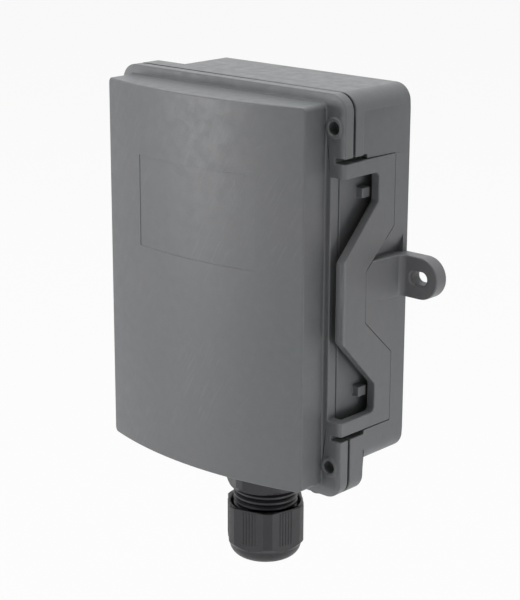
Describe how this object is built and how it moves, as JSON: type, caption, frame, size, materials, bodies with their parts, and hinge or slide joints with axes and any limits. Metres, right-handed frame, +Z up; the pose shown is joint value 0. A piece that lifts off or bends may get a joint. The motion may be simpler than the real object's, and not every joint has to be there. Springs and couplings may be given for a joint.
{
  "type": "differential pressure sensor",
  "caption": "Wall-mounted differential pressure sensor: moulded housing with bowed hinged lid, K-shaped latch strap, wall lugs, cable gland and hose ports.",
  "frame": {"origin": "midway between the two wall lugs, on the wall plane that the base and lugs rest against", "axes": "+X right when facing the lid, +Y into the wall, +Z up; the lid looks along -Y and the gland points along -Z"},
  "size_m": [0.113, 0.0429, 0.1485],
  "materials": {
    "housing": "satin moulded plastic, fine mottled sheen",
    "foam": "matte foam rubber",
    "steel_pin": "satin steel",
    "gland_plastic": "satin black-grey moulded plastic",
    "gland_rubber": "matte rubber",
    "ring_plastic": "matte moulded plastic",
    "port_plastic": "satin moulded plastic",
    "tube_silicone": "translucent milky silicone",
    "board": "green solder mask",
    "screw_steel": "zinc plated steel",
    "cell_plastic": "white moulded plastic",
    "terminal_plastic": "green moulded plastic",
    "switch_plastic": "blue moulded plastic",
    "lever_plastic": "white moulded plastic",
    "button_metal": "pressed steel",
    "button_plastic": "black moulded plastic",
    "chip_plastic": "matte black epoxy",
    "capacitor_sleeve": "plain aluminium can",
    "lamp_plastic": "translucent green plastic"
  },
  "bodies": {
    "housing": {"base": "housing", "hinge_pin": "steel_pin", "gland_washer": "gland_rubber", "gland_body": "gland_plastic", "gland_locknut": "gland_plastic", "gland_seal": "gland_rubber", "port_plus": "port_plastic", "port_minus": "port_plastic", "port_seals": "gland_rubber", "port_nuts": "port_plastic", "tube_plus": "tube_silicone", "tube_minus": "tube_silicone", "circuit_board": "board", "board_screws": "screw_steel", "pressure_cell": "cell_plastic", "terminal_block": "terminal_plastic", "terminal_screws": "screw_steel", "switch_block": "switch_plastic", "button_case": "button_metal", "processor": "chip_plastic", "capacitors": "capacitor_sleeve", "status_lamp": "lamp_plastic"},
    "lid": {"lid": "housing", "lid_gasket": "foam"},
    "gland_carrier": {"gland_clamp_ring": "ring_plastic"},
    "gland_nut": {"gland_nut": "gland_plastic"},
    "zero_button": {"zero_button": "button_plastic"},
    "lever_1": {"lever_1": "lever_plastic"},
    "lever_2": {"lever_2": "lever_plastic"},
    "lever_3": {"lever_3": "lever_plastic"},
    "lever_4": {"lever_4": "lever_plastic"}
  },
  "joints": [
    {"name": "lid_hinge", "type": "hinge", "parent": "housing", "child": "lid", "pos_m": [-0.0407, -0.0209, 0], "axis": [0, 0, 1], "range_deg": [-120, 0]},
    {"name": "nut_travel", "type": "slide", "parent": "housing", "child": "gland_carrier", "axis": [0, 0, 1], "range_m": [-0.006, 0]},
    {"name": "nut_turn", "type": "hinge", "parent": "gland_carrier", "child": "gland_nut", "pos_m": [0.0005, -0.0124, -0.086], "axis": [0, 0, 1], "range_deg": [-1080, 0]},
    {"name": "zero_button_press", "type": "slide", "parent": "housing", "child": "zero_button", "axis": [0, 1, 0], "range_m": [0, 0.0005], "stiffness_N_per_m": 400},
    {"name": "lever_1_slide", "type": "slide", "parent": "housing", "child": "lever_1", "axis": [0, 0, 1], "range_m": [0, 0.0014]},
    {"name": "lever_2_slide", "type": "slide", "parent": "housing", "child": "lever_2", "axis": [0, 0, 1], "range_m": [0, 0.0014]},
    {"name": "lever_3_slide", "type": "slide", "parent": "housing", "child": "lever_3", "axis": [0, 0, 1], "range_m": [0, 0.0014]},
    {"name": "lever_4_slide", "type": "slide", "parent": "housing", "child": "lever_4", "axis": [0, 0, 1], "range_m": [0, 0.0014]}
  ],
  "couplings": [
    {"joint": "nut_turn", "follows": "nut_travel", "rad_per_m": 3141.6}
  ]
}
